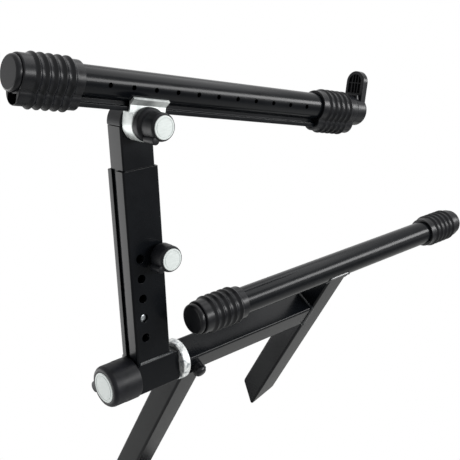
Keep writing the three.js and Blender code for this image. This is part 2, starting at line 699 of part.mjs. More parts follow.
const centre = group(stand, 0, 0, pivotHeight);
centre.rotation.y = -rad(legLean);
hang(centre, 'pivot_axle', pivotAxle(), steel);
hang(centre, 'pivot_nut', pivotNut(), steel);
hang(centre, 'lock_plate', lockPlate(), steel);
const lock = group(stand, 0, 0, pivotHeight);
lock.rotation.y = rad(legLean);
hang(lock, 'lock_trigger', lockTrigger(), knobPlastic);

// The origin goes under the middle of the whole stand.
const extent = new THREE.Box3().setFromObject(stand, true);
stand.position.y = -(extent.min.y + extent.max.y) / 2;

export default stand;
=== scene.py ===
from math import acos, asin, atan2, cos, degrees, pi, radians, sin, sqrt

import bmesh
import bpy
from mathutils import Matrix, Vector


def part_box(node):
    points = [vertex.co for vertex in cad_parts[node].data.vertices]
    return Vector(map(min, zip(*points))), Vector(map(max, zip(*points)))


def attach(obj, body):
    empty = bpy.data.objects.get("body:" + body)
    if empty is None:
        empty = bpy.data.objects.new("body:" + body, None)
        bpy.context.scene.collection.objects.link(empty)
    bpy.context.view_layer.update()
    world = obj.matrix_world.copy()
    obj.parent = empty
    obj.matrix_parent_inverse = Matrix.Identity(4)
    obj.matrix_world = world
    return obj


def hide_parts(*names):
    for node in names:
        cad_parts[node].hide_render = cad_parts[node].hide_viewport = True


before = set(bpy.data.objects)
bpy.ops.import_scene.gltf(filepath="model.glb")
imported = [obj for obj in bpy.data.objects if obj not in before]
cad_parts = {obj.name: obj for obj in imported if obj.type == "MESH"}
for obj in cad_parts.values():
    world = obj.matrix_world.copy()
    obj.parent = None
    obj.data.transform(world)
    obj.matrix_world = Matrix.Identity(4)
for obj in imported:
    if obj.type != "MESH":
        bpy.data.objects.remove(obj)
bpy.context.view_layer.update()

mm = 0.001
print("stand frame loaded:", len(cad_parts), "nodes")

# Folding keyboard stand, dressed piece by piece on the CAD frame. Sizes are millimetres, turned to
# metres where the mesh is made. Each piece is made for the left side about its own axis, then set
# on both sides.
stand = {
    "legLean": 30.6,        # degrees from upright
    "postLean": 2.95,
    "railTilt": 12.0,
    "crossbarDrop": 76.0,   # crossbar axis below the support tube's, along the leg
    "sleeveY": 49.8,
    "boltRise": 287.5,      # tilt bolt above the swivel axis
    "railOffset": 21.1,
    "railRise": 36.6,
    "tubeRadius": 16.0,
    "legHalf": 16.0,
    "armBackY": 14.5,
    "gap": 0.3,             # between pieces that touch
}
gap = stand["gap"]
smoothAngle = 32


# Modelling helpers.
def clearSelection():
    if bpy.context.mode != "OBJECT":
        bpy.ops.object.mode_set(mode="OBJECT")
    bpy.ops.object.select_all(action="DESELECT")


def only(piece):
    clearSelection()
    piece.select_set(True)
    bpy.context.view_layer.objects.active = piece


def settled(piece, name):
    piece.name = name
    piece.data.name = name
    only(piece)
    bpy.ops.object.transform_apply(location=True, rotation=True, scale=True)
    return piece


def pick(piece, kind, test):
    bpy.ops.mesh.select_mode(type=kind)
    bpy.ops.mesh.select_all(action="DESELECT")
    mesh = bmesh.from_edit_mesh(piece.data)
    for part in {"VERT": mesh.verts, "EDGE": mesh.edges, "FACE": mesh.faces}[kind]:
        if test(part):
            part.select_set(True)
    mesh.select_flush_mode()
    bmesh.update_edit_mesh(piece.data)


def shaped(piece, kind, **settings):
    only(piece)
    modifier = piece.modifiers.new(kind.lower(), kind)
    for key, value in settings.items():
        setattr(modifier, key, value)
    bpy.ops.object.modifier_apply(modifier=modifier.name)
    return piece


def rounded(piece, width, segments=2, angle=35):
    return shaped(piece, "BEVEL", width=width * mm, segments=segments, limit_method="ANGLE",
                  angle_limit=radians(angle), use_clamp_overlap=True)


def carved(piece, cutter):
    shaped(piece, "BOOLEAN", object=cutter, operation="DIFFERENCE", solver="EXACT")
    bpy.data.objects.remove(cutter, do_unlink=True)
    return piece


def joined(name, *pieces):
    clearSelection()
    for piece in pieces:
        piece.select_set(True)
    bpy.context.view_layer.objects.active = pieces[0]
    bpy.ops.object.join()
    pieces[0].name = name
    return pieces[0]


def outwardFaces(piece):
    only(piece)
    bpy.ops.object.mode_set(mode="EDIT")
    bpy.ops.mesh.select_all(action="SELECT")
    bpy.ops.mesh.remove_doubles(threshold=0.00001)
    bpy.ops.mesh.normals_make_consistent(inside=False)
    bpy.ops.object.mode_set(mode="OBJECT")
    return piece


def startPoint(place):
    # one vertex, to be pulled along a path
    clearSelection()
    bpy.ops.mesh.primitive_plane_add(size=mm, location=(0, 0, 0))
    bpy.ops.object.mode_set(mode="EDIT")
    bpy.ops.mesh.select_mode(type="VERT")
    bpy.ops.mesh.merge(type="CENTER")
    bpy.ops.transform.translate(value=Vector(place) * mm)
    return bpy.context.object


def pulled(step):
    bpy.ops.mesh.extrude_region_move(TRANSFORM_OT_translate={"value": Vector(step) * mm})


def spun(name, profile, steps=64):
    # [radius, height] points turned round Z
    piece = startPoint((profile[0][0], 0, profile[0][1]))
    for (r0, z0), (r1, z1) in zip(profile, profile[1:]):
        pulled((r1 - r0, 0, z1 - z0))
    bpy.ops.mesh.select_all(action="SELECT")
    bpy.ops.mesh.spin(steps=steps, angle=2 * pi, center=(0, 0, 0), axis=(0, 0, 1))
    bpy.ops.object.mode_set(mode="OBJECT")
    return settled(outwardFaces(piece), name)


def ringed(name, outline, stations, sides=96, crowd=0.0):
    # rings stacked along Y: outline gives the radius at an angle from straight down, and each
    # station adds its growth
    clearSelection()
    bpy.ops.mesh.primitive_circle_add(vertices=sides, radius=10 * mm, fill_type="NGON",
                                      rotation=(pi / 2, 0, 0))
    piece = settled(bpy.context.object, name)
    bpy.ops.object.mode_set(mode="EDIT")
    bpy.ops.mesh.select_mode(type="VERT")
    bpy.ops.mesh.select_all(action="SELECT")
    for number, (along, growth) in enumerate(stations):
        if number:
            pulled((0, 1, 0))
        mesh = bmesh.from_edit_mesh(piece.data)
        for vert in mesh.verts:
            if vert.select:
                angle = atan2(vert.co.x, -vert.co.z)
                if number == 0:
                    angle -= crowd * sin(angle)
                radius = (outline(angle) + growth) * mm
                vert.co = (radius * sin(angle), along * mm, -radius * cos(angle))
        bmesh.update_edit_mesh(piece.data)
    bpy.ops.object.mode_set(mode="OBJECT")
    return outwardFaces(piece)


def outlined(name, points, y0, y1):
    # a closed outline in X and Z, run along Y
    clearSelection()
    bpy.ops.mesh.primitive_circle_add(vertices=len(points), radius=10 * mm, fill_type="NGON")
    piece = settled(bpy.context.object, name)
    for vert, (x, z) in zip(piece.data.vertices, points):
        vert.co = (x * mm, y0 * mm, z * mm)
    bpy.ops.object.mode_set(mode="EDIT")
    bpy.ops.mesh.select_mode(type="VERT")
    bpy.ops.mesh.select_all(action="SELECT")
    pulled((0, y1 - y0, 0))
    bpy.ops.object.mode_set(mode="OBJECT")
    return outwardFaces(piece)


def block(name, low, high):
    clearSelection()
    low, high = Vector(low) * mm, Vector(high) * mm
    bpy.ops.mesh.primitive_cube_add(size=1, location=(low + high) / 2, scale=high - low)
    return settled(bpy.context.object, name)


def squareTube(name, low, high, axis, corner, wall):
    # drawn tube: rounded long edges, then an even wall inwards
    piece = block(name, low, high)
    along = {"X": 0, "Y": 1, "Z": 2}[axis]
    bpy.ops.object.mode_set(mode="EDIT")
    pick(piece, "EDGE",
         lambda edge: abs((edge.verts[0].co - edge.verts[1].co).normalized()[along]) > 0.99)
    bpy.ops.mesh.bevel(offset=corner * mm, segments=4, affect="EDGES")
    pick(piece, "FACE", lambda face: abs(face.normal[along]) > 0.99)
    bpy.ops.mesh.delete(type="FACE")
    bpy.ops.object.mode_set(mode="OBJECT")
    return shaped(piece, "SOLIDIFY", thickness=wall * mm, offset=-1.0, use_even_offset=True)


def roundTube(name, radius, wall, y0, y1):
    clearSelection()
    bpy.ops.mesh.primitive_cylinder_add(vertices=96, radius=radius * mm, depth=(y1 - y0) * mm,
                                        end_fill_type="NOTHING", rotation=(pi / 2, 0, 0),
                                        location=(0, (y0 + y1) / 2 * mm, 0))
    piece = settled(bpy.context.object, name)
    return shaped(piece, "SOLIDIFY", thickness=wall * mm, offset=-1.0, use_even_offset=True)


def borer(radius, length, axis, places, sides=32):
    # round cutters along X, Y or Z at the given middles, as one mesh
    turn = {"X": (0, pi / 2, 0), "Y": (pi / 2, 0, 0), "Z": (0, 0, 0)}[axis]
    cutters = []
    for place in places:
        clearSelection()
        bpy.ops.mesh.primitive_cylinder_add(vertices=sides, radius=radius * mm, depth=length * mm,
                                            location=Vector(place) * mm, rotation=turn)
        cutters.append(settled(bpy.context.object, "cutter"))
    return joined("cutter", *cutters) if len(cutters) > 1 else cutters[0]


def bead(name, path, radius):
    # weld bead: a path pulled out of one point in short steps, swept round with a ripple
    step = 1.6
    points = [Vector(path[0])]
    for target in path[1:]:
        start = points[-1].copy()
        leg = Vector(target) - start
        count = max(1, round(leg.length / step))
        points += [start + leg * (k + 1) / count for k in range(count)]
    piece = startPoint(points[0])
    for here, there in zip(points, points[1:]):
        pulled(there - here)
    bpy.ops.object.mode_set(mode="OBJECT")
    only(piece)
    bpy.ops.object.convert(target="CURVE")
    line = bpy.context.object
    line.data.bevel_depth = radius * mm
    line.data.bevel_resolution = 3
    line.data.use_fill_caps = True
    for spline in line.data.splines:
        for number, point in enumerate(spline.points):
            point.radius = 1.0 if number % 2 else 0.82
        spline.points[0].radius = spline.points[-1].radius = 1.35
    bpy.ops.object.convert(target="MESH")
    return settled(outwardFaces(bpy.context.object), name)


def moved(piece, x=0.0, y=0.0, z=0.0):
    piece.data.transform(Matrix.Translation(Vector((x, y, z)) * mm))
    return piece


def turned(piece, degreesRound, axis):
    piece.data.transform(Matrix.Rotation(radians(degreesRound), 4, axis))
    return piece


# Finishes.
def colour(code):
    values = [int(code[k:k + 2], 16) / 255 for k in (1, 3, 5)]
    linear = [v / 12.92 if v <= 0.04045 else ((v + 0.055) / 1.055) ** 2.4 for v in values]
    return (*linear, 1.0)


def addNode(tree, kind, inputs=None, **settings):
    node = tree.nodes.new(kind)
    for key, value in settings.items():
        setattr(node, key, value)
    for key, value in (inputs or {}).items():
        if isinstance(value, bpy.types.NodeSocket):
            tree.links.new(value, node.inputs[key])
        else:
            node.inputs[key].default_value = value
    return node


def finishOf(name, tones, patchMm, grainMm, bumpMm, rough, metallic=0.0, specular=0.5, stretch=None,
             detail=3.0, ramp=(0.35, 0.65)):
    # two tones in soft patches, a roughness that follows them, and a fine grain in the bump
    material = bpy.data.materials.new(name)
    material.use_nodes = True
    tree = material.node_tree
    tree.nodes.clear()
    place = addNode(tree, "ShaderNodeTexCoord").outputs["Object"]
    if stretch:
        stretched = addNode(tree, "ShaderNodeMapping", {"Vector": place, "Scale": stretch})
        place = stretched.outputs["Vector"]
    patches = addNode(tree, "ShaderNodeTexNoise", {"Vector": place, "Scale": 1 / (patchMm * mm),
                                                   "Detail": detail, "Roughness": 0.6})
    mix = addNode(tree, "ShaderNodeValToRGB", {"Fac": patches.outputs["Fac"]})
    mix.color_ramp.elements[0].position, mix.color_ramp.elements[1].position = ramp
    mix.color_ramp.elements[0].color = colour(tones[0])
    mix.color_ramp.elements[1].color = colour(tones[1])
    spread = addNode(tree, "ShaderNodeMapRange",
                     {"Value": patches.outputs["Fac"], "From Min": 0.3, "From Max": 0.7,
                      "To Min": rough[0], "To Max": rough[1]})
    grain = addNode(tree, "ShaderNodeTexNoise",
                    {"Vector": place, "Scale": 1 / (grainMm * mm), "Detail": 2.0, "Roughness": 0.5})
    bump = addNode(tree, "ShaderNodeBump", {"Height": grain.outputs["Fac"], "Strength": 1.0,
                                            "Distance": bumpMm * mm})
    shader = addNode(tree, "ShaderNodeBsdfPrincipled",
                     {"Base Color": mix.outputs["Color"], "Roughness": spread.outputs["Result"],
                      "Normal": bump.outputs["Normal"], "Metallic": metallic,
                      "Specular IOR Level": specular})
    addNode(tree, "ShaderNodeOutputMaterial", {"Surface": shader.outputs["BSDF"]})
    return material


# Polyester powder coat on steel tube, sprayed and baked: near-black with a soft satin gloss and a
# faint orange peel. Real peel is about 1 mm across; it is drawn at 2.5 mm so that it shows.
powderCoat = finishOf("powderCoatBlack", ("#090B0E", "#0D0F12"), 45.0, 2.5, 0.01, (0.18, 0.25),
                      specular=0.13)
# Moulded thermoplastic rubber: soft dark grey, low broad sheen, a fine mould grain.
capRubber = finishOf("mouldedRubber", ("#0E0F12", "#131417"), 18.0, 1.6, 0.02, (0.27, 0.36),
                     specular=0.2)
# Glass-filled nylon from a spark-eroded mould: charcoal, with a fine even texture that breaks up
# the gloss.
nylon = finishOf("mouldedNylon", ("#101114", "#15161A"), 12.0, 1.2, 0.03, (0.36, 0.46),
                 specular=0.18)
# Anodised aluminium foil disc: pale satin grey-white, faintly brushed one way.
discFoil = finishOf("satinFoilDisc", ("#C6CCCA", "#D0D6D4"), 9.0, 0.8, 0.002, (0.36, 0.44),
                    specular=0.4, stretch=(1.0, 1.0, 6.0))
# Die-cast zinc ring, tumbled and bare: bright with grey mottling and small pits.
castZinc = finishOf("diecastZinc", ("#989DA0", "#ECEEED"), 5.0, 2.0, 0.05, (0.4, 0.55),
                    metallic=0.65, specular=0.5, detail=4.0, ramp=(0.36, 0.58))
# Extruded and sawn aluminium, bead blasted: even pale grey with a fine tooth.
castAluminium = finishOf("blastedAluminium", ("#B4B9B8", "#D5D9D7"), 9.0, 1.2, 0.03, (0.42, 0.52),
                         metallic=0.6, specular=0.5)
# Zinc-plated steel, turned and cold-headed: cool grey, sharper reflections, light streaks.
platedSteel = finishOf("platedSteel", ("#8C9195", "#B9BDC0"), 6.0, 1.0, 0.01, (0.24, 0.36),
                       metallic=0.9, specular=0.5, stretch=(1.0, 4.0, 1.0))
# Powder coat pooled over a weld bead: thicker, so it is glossier. Its two tones are a lighter grey
# than the black coat; that grey is painted sheen, so the bead shows bright as if catching the
# light.
weldCoatPaintedSheen = finishOf("coatedWeldBeadPaintedSheen", ("#14171A", "#2A2E31"), 3.0, 1.0, 0.03, (0.14, 0.22),
                    specular=0.5)
print("finishes mixed")


# Where each group of pieces sits.
def middle(node):
    low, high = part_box(node)
    return (Vector(low) + Vector(high)) / 2


armAxis = middle("left_support_tube")
footAxis = middle("left_foot_tube")
pivotHeight = (armAxis.z + footAxis.z) / 2 / mm
halfSpan = Vector((armAxis.x - footAxis.x, armAxis.z - footAxis.z)).length / 2 / mm
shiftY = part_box("left_support_cap_back")[1][1] / mm - stand["armBackY"]
crossbarAt = halfSpan - stand["crossbarDrop"]


def slide(x, y, z):
    return Matrix.Translation(Vector((x, y, z)) * mm)


def placesOf(hand):
    lean = hand * radians(stand["legLean"])
    base = slide(0, shiftY, pivotHeight) @ Matrix.Rotation(lean, 4, "Y")
    bar = base @ slide(0, 0, crossbarAt)
    post = bar @ Matrix.Rotation(-hand * radians(stand["postLean"]) - lean, 4, "Y")
    bolt = post @ slide(0, stand["sleeveY"], stand["boltRise"])
    head = bolt @ Matrix.Rotation(radians(stand["railTilt"]), 4, "X")
    return {
        "frame": base, "bar": bar, "post": post, "bolt": bolt, "head": head,
        "arm": base @ slide(0, 0, halfSpan),
        "foot": base @ slide(0, 0, -halfSpan) @ Matrix.Rotation(-lean, 4, "Y"),
        "rail": head @ slide(hand * stand["railOffset"], 0, stand["railRise"]),
    }


places = {"left": placesOf(-1), "right": placesOf(1)}


def setOne(piece, name, side, where, body, material, slot, *nodes):
    # one side's copy, with its own mesh; the right side is the left one mirrored
    clearSelection()
    copy = bpy.data.objects.new(name, piece.data.copy())
    copy.data.name = name
    bpy.context.scene.collection.objects.link(copy)
    if side == "right":
        copy.data.transform(Matrix.Scale(-1, 4, (1, 0, 0)))
        copy.data.flip_normals()
    copy.data.transform(places[side][where])
    copy.data.materials.clear()
    copy.data.materials.append(material)
    only(copy)
    bpy.ops.object.shade_smooth_by_angle(angle=radians(smoothAngle))
    shaped(copy, "WEIGHTED_NORMAL", keep_sharp=True)
    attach(copy, body)
    if nodes:
        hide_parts(*nodes)
    return copy


def setPair(piece, name, where, body, material, slot, *nodes):
    for side in ("left", "right"):
        setOne(piece, f"{side}_{name}", side, where, f"{side}_{body}", material, slot,
               *[f"{side}_{node}" for node in nodes])
    bpy.data.objects.remove(piece, do_unlink=True)


# Rubber caps.
capSizes = {
    "band": 3.4,            # smooth band outside the tube
    "length": 71.0,
    "railLength": 71.0,
    "ribs": 5,
    "pitch": 9.2,
    "rise": 2.5,
    "lip": 8.0,
    "sharpness": 4.0,       # power of the sine that draws a rib
    "discStep": 6.0,        # the end disc stands this far out of the keyhole caps
    "lobe": 10.5,           # half width of the room for the rail
    "lobeWall": 2.4,
    "lobeBottom": 27.0,
}


def ribStations(length):
    ribsStart = length - capSizes["lip"] - capSizes["ribs"] * capSizes["pitch"]
    rings = [(ribsStart, 0.0)]
    for rib in range(capSizes["ribs"]):
        for part in (0.12, 0.22, 0.31, 0.39, 0.46, 0.54, 0.61, 0.69, 0.78, 0.88, 1.0):
            rise = capSizes["rise"] * sin(pi * part) ** capSizes["sharpness"]
            rings.append((ribsStart + (rib + part) * capSizes["pitch"], rise))
    wall = capSizes["band"]
    return rings + [(length - 0.7, 0.0), (length - 0.2, -0.3), (length, -0.8), (length, gap - wall),
                    (length - 2.0, gap - wall)]


discStations = [(0.0, -4.6), (0.35, -3.5), (1.1, -2.6), (2.2, -2.0), (3.8, -1.7), (5.2, -1.8),
                (5.8, -2.2), (6.0, -3.0), (7.2, -3.0), (7.5, -1.0), (8.1, -0.3), (9.2, 0.0)]


def backwards(stations):
    return [(-along, growth) for along, growth in stations]


def copyOf(piece):
    copy = piece.copy()
    copy.data = piece.data.copy()
    bpy.context.scene.collection.objects.link(copy)
    return copy


capRadius = stand["tubeRadius"] + capSizes["band"]
capStations = backwards(discStations + ribStations(capSizes["length"]))
roundCap = ringed("cap", lambda angle: capRadius, capStations)
frontCap = turned(copyOf(roundCap), 180, "Z")
armLength = 494.5
armFrontY = stand["armBackY"] - armLength
footSizes = {"back": 105.0, "length": 520.0, "floor": -20.0}


def footCut(piece):
    # flat sole where the cap meets the floor
    only(piece)
    bpy.ops.object.mode_set(mode="EDIT")
    bpy.ops.mesh.select_all(action="SELECT")
    bpy.ops.mesh.bisect(plane_co=(0, 0, footSizes["floor"] * mm), plane_no=(0, 0, -1),
                        use_fill=True, clear_outer=True)
    bpy.ops.object.mode_set(mode="OBJECT")
    return piece


footBackCap = moved(footCut(copyOf(roundCap)), y=footSizes["back"])
footFrontCap = moved(footCut(copyOf(frontCap)), y=footSizes["back"] - footSizes["length"])
setPair(moved(roundCap, y=stand["armBackY"]), "arm_cap_back", "arm", "frame", capRubber, "rubber",
        "support_cap_back")
setPair(moved(frontCap, y=armFrontY), "arm_cap_front", "arm", "frame", capRubber, "rubber",
        "support_cap_front")
setPair(footBackCap, "foot_sole_back", "foot", "frame", capRubber, "rubber", "foot_cap_back")
setPair(footFrontCap, "foot_sole_front", "foot", "frame", capRubber, "rubber", "foot_cap_front")


def keyhole(angle):
    # round over the tube, with the lobe that takes the rail below
    lobe = capSizes["lobe"] + capSizes["lobeWall"]
    reach = capSizes["lobeBottom"] + capSizes["lobeWall"] - lobe
    side = reach * sin(angle)
    if cos(angle) <= 0 or abs(side) >= lobe:
        return capRadius
    return max(capRadius, reach * cos(angle) + sqrt(lobe ** 2 - side ** 2))


railBack = 153.0
stopFront = -339.0
stopLength = 18.5
discStep = capSizes["discStep"]
keySides, keyCrowd = 120, 0.35
keyStations = [(discStep, -1.2), (discStep + 0.5, -0.4), (discStep + 1.4, 0.0)]
keyStations += ribStations(capSizes["railLength"])
keyCap = ringed("cap", keyhole, backwards(keyStations), keySides, keyCrowd)
pocket = outlined("cutter", [(-8.2, -24.5), (-6.5, -27.0), (-2.5, -28.6), (2.5, -28.6),
                             (6.5, -27.0), (8.2, -24.5), (8.2, -15.0), (-8.2, -15.0)],
                  -discStep - 12, -discStep + 5)
carved(keyCap, pocket)
endDisc = ringed("disc", lambda angle: capRadius, backwards(discStations[:10] + [(12.0, -1.0)]))
backCap = moved(joined("cap", keyCap, endDisc), y=railBack)
setPair(backCap, "rail_cap_back_cover", "rail", "rail", capRubber, "rubber", "rail_cap_back")

openStations = [(6.4, -1.4), (6.6, -0.5), (7.4, 0.0)] + ribStations(capSizes["railLength"])
openCap = ringed("cap", keyhole, backwards(openStations), keySides, keyCrowd)
moved(turned(openCap, 180, "Z"), y=stopFront + stopLength - discStep)
setPair(openCap, "rail_cap_front_cover", "rail", "rail", capRubber, "rubber", "rail_cap_front")
print("caps ribbed")

# Round tubes.
tubeSizes = {"wall": 1.5, "inCap": 6.3, "holes": 11, "holeRadius": 2.6, "holePitch": 28.0,
             "firstHole": 52.4, "holeZ": -1.2, "footShort": 12.0}
armTube = roundTube("tube", stand["tubeRadius"], tubeSizes["wall"], armFrontY + tubeSizes["inCap"],
                    stand["armBackY"] - tubeSizes["inCap"])
setPair(armTube, "arm_tube", "arm", "frame", powderCoat, "black_coat", "support_tube")
footTube = roundTube("tube", stand["tubeRadius"], tubeSizes["wall"],
                     footSizes["back"] - footSizes["length"] + tubeSizes["inCap"],
                     footSizes["back"] - tubeSizes["inCap"])
setPair(footTube, "ground_tube", "foot", "frame", powderCoat, "black_coat", "foot_tube")

railSizes = {"half": 6.5, "web": 3.0, "flange": 5.0, "top": -15.2, "bottom": -25.0, "lip": 0.8}
railStart = stopFront + stopLength + gap
railEnd = railBack - tubeSizes["inCap"]
railTube = roundTube("tube", stand["tubeRadius"], tubeSizes["wall"], railStart, railEnd)
holeRow = [(-stand["tubeRadius"], tubeSizes["firstHole"] - k * tubeSizes["holePitch"],
            tubeSizes["holeZ"]) for k in range(tubeSizes["holes"])]
carved(railTube, borer(tubeSizes["holeRadius"], 16.0, "X", holeRow, 24))
half, web = railSizes["half"], railSizes["web"]
bottom, flangeTop = railSizes["bottom"], railSizes["bottom"] + railSizes["flange"]
railBar = outlined("rail", [(-web, railSizes["top"]), (-web, flangeTop), (-half, flangeTop),
                            (-half, bottom), (half, bottom), (half, flangeTop), (web, flangeTop),
                            (web, railSizes["top"])],
                   railStart, railEnd - tubeSizes["footShort"])
rounded(railBar, railSizes["lip"], 3)
setPair(joined("rail", railTube, railBar), "rail_with_foot", "rail", "rail", powderCoat,
        "black_coat", "rail_tube")
print("tubes drawn")

# Legs, crossbars and their welds.
legSizes = {"corner": 3.0, "wall": 1.5, "intoTube": 4.0, "bead": 2.1, "barEnd": 4.7}
legHalf = stand["legHalf"]


def saddle(y, downward):
    # joint line of the square leg on a round tube, about the tube's axis
    r = stand["tubeRadius"]
    edge = legHalf + 0.4
    sweep = [x * legHalf / 8 for x in range(-8, 9)]
    drops = [downward * (sqrt(max(r * r - x * x, 0.0)) + 0.4) for x in sweep]
    front = [(x, y - edge, z) for x, z in zip(sweep, drops)]
    back = [(x, y + edge, z) for x, z in zip(reversed(sweep), reversed(drops))]
    return front + back + [front[0]]


def squareLine(y, ring, upright):
    # joint line round a square tube's end, standing across Y or lying across Z at its lower side
    if upright:
        corners = [(-ring, y, -ring), (ring, y, -ring), (ring, y, ring), (-ring, y, ring)]
    else:
        corners = [(-ring, y - ring, -ring), (ring, y - ring, -ring), (ring, y + ring, -ring),
                   (-ring, y + ring, -ring)]
    return corners + [corners[0]]


for side in ("left", "right"):
    yMain = middle(f"{side}_main_leg").y / mm - shiftY
    yBrace = middle(f"{side}_brace_leg").y / mm - shiftY
    low = legSizes["intoTube"] - halfSpan
    mainLeg = squareTube("leg", (-legHalf, yMain - legHalf, low), (legHalf, yMain + legHalf, -low),
                         "Z", legSizes["corner"], legSizes["wall"])
    setOne(mainLeg, f"{side}_long_leg", side, "frame", f"{side}_frame", powderCoat, "black_coat",
           f"{side}_main_leg")
    braceTop = crossbarAt - legHalf + 0.2
    braceLeg = squareTube("leg", (-legHalf, yBrace - legHalf, low),
                          (legHalf, yBrace + legHalf, braceTop), "Z", legSizes["corner"],
                          legSizes["wall"])
    setOne(braceLeg, f"{side}_short_leg", side, "frame", f"{side}_frame", powderCoat, "black_coat",
           f"{side}_brace_leg")
    bar = squareTube("bar", (-legHalf, yMain + legHalf - gap, -legHalf),
                     (legHalf, legSizes["barEnd"], legHalf), "Y", legSizes["corner"],
                     legSizes["wall"])
    setOne(bar, f"{side}_cross_tube", side, "bar", f"{side}_frame", powderCoat, "black_coat",
           f"{side}_crossbar")
    ring = legHalf + 0.2
    seams = [
        (bead("seam", saddle(yMain, -1), legSizes["bead"]), "arm"),
        (bead("seam", saddle(yMain, 1), legSizes["bead"]), "leg_foot"),
        (bead("seam", saddle(yBrace, 1), legSizes["bead"]), "leg_foot"),
        (bead("seam", squareLine(yMain + ring, ring, True), legSizes["bead"]), "bar"),
        (bead("seam", squareLine(yBrace, ring, False), legSizes["bead"]), "bar"),
    ]
    places[side]["leg_foot"] = places[side]["frame"] @ Matrix.Translation((0, 0, -halfSpan * mm))
    for number, (seam, where) in enumerate(seams):
        setOne(seam, f"{side}_weld_{number}", side, where, f"{side}_frame", weldCoatPaintedSheen, "black_coat")
        bpy.data.objects.remove(seam, do_unlink=True)
    for spare in (mainLeg, braceLeg, bar):
        bpy.data.objects.remove(spare, do_unlink=True)
print("legs welded")

# Locking ring and the small button ahead of it.
ringSizes = {"radius": 24.0, "front": 5.0, "thick": 10.0, "round": 1.2}
rs, rf, rt, rr = ringSizes["radius"], ringSizes["front"], ringSizes["thick"], ringSizes["round"]
lockRing = spun("ring", [(0, rf), (rs - 2 * rr, rf), (rs - rr * 0.6, rf + 0.3), (rs - 0.1, rf + rr),
                         (rs, rf + 2.4), (rs, rf + rt - 2.4), (rs - 0.1, rf + rt - rr),
                         (rs - rr * 0.6, rf + rt - 0.3), (rs - 2 * rr, rf + rt), (0, rf + rt)], 96)
turned(lockRing, -90, "X")
setPair(lockRing, "locking_ring", "bar", "frame", castZinc, "zinc", "clutch_ring")
buttonSizes = {"radius": 7.5, "y": -12.5, "z": -5.5}
br = buttonSizes["radius"]
stopButton = spun("button", [(0, 0), (br, 0), (br, 6.6), (br - 0.3, 6.8), (br - 0.3, 7.2),
                             (br + 0.6, 7.4), (br + 1.0, 7.8), (br + 1.0, 8.4), (br + 0.6, 8.8),
                             (br, 9.0), (br - 0.4, 10.2), (br - 1.3, 11.6), (br - 2.9, 12.5),
                             (br - 5.0, 12.9), (0, 13.0)], 48)
turned(stopButton, -90, "Y")
moved(stopButton, x=-legHalf - gap, y=buttonSizes["y"], z=buttonSizes["z"])
setPair(stopButton, "bumper_button", "bar", "frame", capRubber, "rubber", "retaining_button")

# Post: base box, channel sleeve, inner tube and moulded cap.
postSizes = {
    "depth": 30.0, "width": 46.0, "top": 238.5, "wall": 2.0, "corner": 2.6,
    "boxRise": 37.0, "boxFront": 15.3, "slot": 7.3, "slotX": 3.0,
    "holeY": 59.3, "holeZ": 48.2, "holePitch": 23.1, "holes": 5, "holeRadius": 5.0,
    "innerDepth": 25.0, "innerWidth": 41.0, "innerBottom": 43.0, "innerCorner": 2.4,
    "innerWall": 2.0, "capSeat": 285.5, "boltHole": 5.5, "bead": 2.0,
}
hx, hy = postSizes["depth"] / 2, postSizes["width"] / 2
sleeveY = stand["sleeveY"]
boxTop = postSizes["boxRise"] / 2
boxBack = sleeveY + hy
baseBox = block("box", (-hx, postSizes["boxFront"], -boxTop), (hx, boxBack, boxTop))
setPair(rounded(baseBox, 1.6, 3), "swivel_box", "post", "post_base", powderCoat, "black_coat",
        "base_box")

sleeve = squareTube("sleeve", (-hx, sleeveY - hy, boxTop + 0.1),
                    (hx, sleeveY + hy, postSizes["top"]), "Z", postSizes["corner"],
                    postSizes["wall"])
slotHalf = postSizes["slot"] / 2
slotCut = block("cutter", (postSizes["slotX"] - slotHalf, sleeveY, boxTop - 2),
                (postSizes["slotX"] + slotHalf, sleeveY + hy + 4, postSizes["top"] + 4))
carved(sleeve, slotCut)
holeMiddles = [(-hx, postSizes["holeY"], postSizes["holeZ"] + k * postSizes["holePitch"])
               for k in range(postSizes["holes"])]
carved(sleeve, borer(postSizes["holeRadius"], 8.0, "X", holeMiddles, 40))
rounded(sleeve, 0.35, 2, 50)
setPair(sleeve, "channel_sleeve", "post", "post_base", powderCoat, "black_coat", "sleeve")
wx, wy, wz = hx + 0.2, sleeveY - hy - 0.4, boxTop + 0.6
seamEnd = boxBack - 1.5
postSeam = bead("seam", [(wx, seamEnd, wz), (wx, wy, wz), (-wx, wy, wz), (-wx, seamEnd, wz)],
                postSizes["bead"])
setPair(postSeam, "post_weld", "post", "post_base", weldCoatPaintedSheen, "black_coat")

ix, iy = postSizes["innerDepth"] / 2, postSizes["innerWidth"] / 2
innerTube = squareTube("inner", (-ix, sleeveY - iy, postSizes["innerBottom"]),
                       (ix, sleeveY + iy, postSizes["capSeat"]), "Z", postSizes["innerCorner"],
                       postSizes["innerWall"])
carved(innerTube, borer(postSizes["boltHole"], 60.0, "X", [(0, sleeveY, stand["boltRise"])], 40))
# its own holes line up with the sleeve's, so they look dark right through
innerHoles = [(-ix, y, z) for x, y, z in holeMiddles]
carved(innerTube, borer(postSizes["holeRadius"], 8.0, "X", innerHoles, 40))
setPair(innerTube, "sliding_tube", "post", "post_upper", powderCoat, "black_coat", "inner_post")
seat = postSizes["capSeat"] + gap - stand["boltRise"]
crown = [(-iy, seat), (iy, seat)]
crown += [(iy * cos(pi * k / 32), iy * sin(pi * k / 32)) for k in range(33)]
postTop = outlined("crown", crown, -ix, ix)
rounded(postTop, 1.3, 3, 40)
turned(postTop, 90, "Z")
setPair(postTop, "moulded_crown", "bolt", "post_upper", nylon, "knob_plastic", "post_cap")

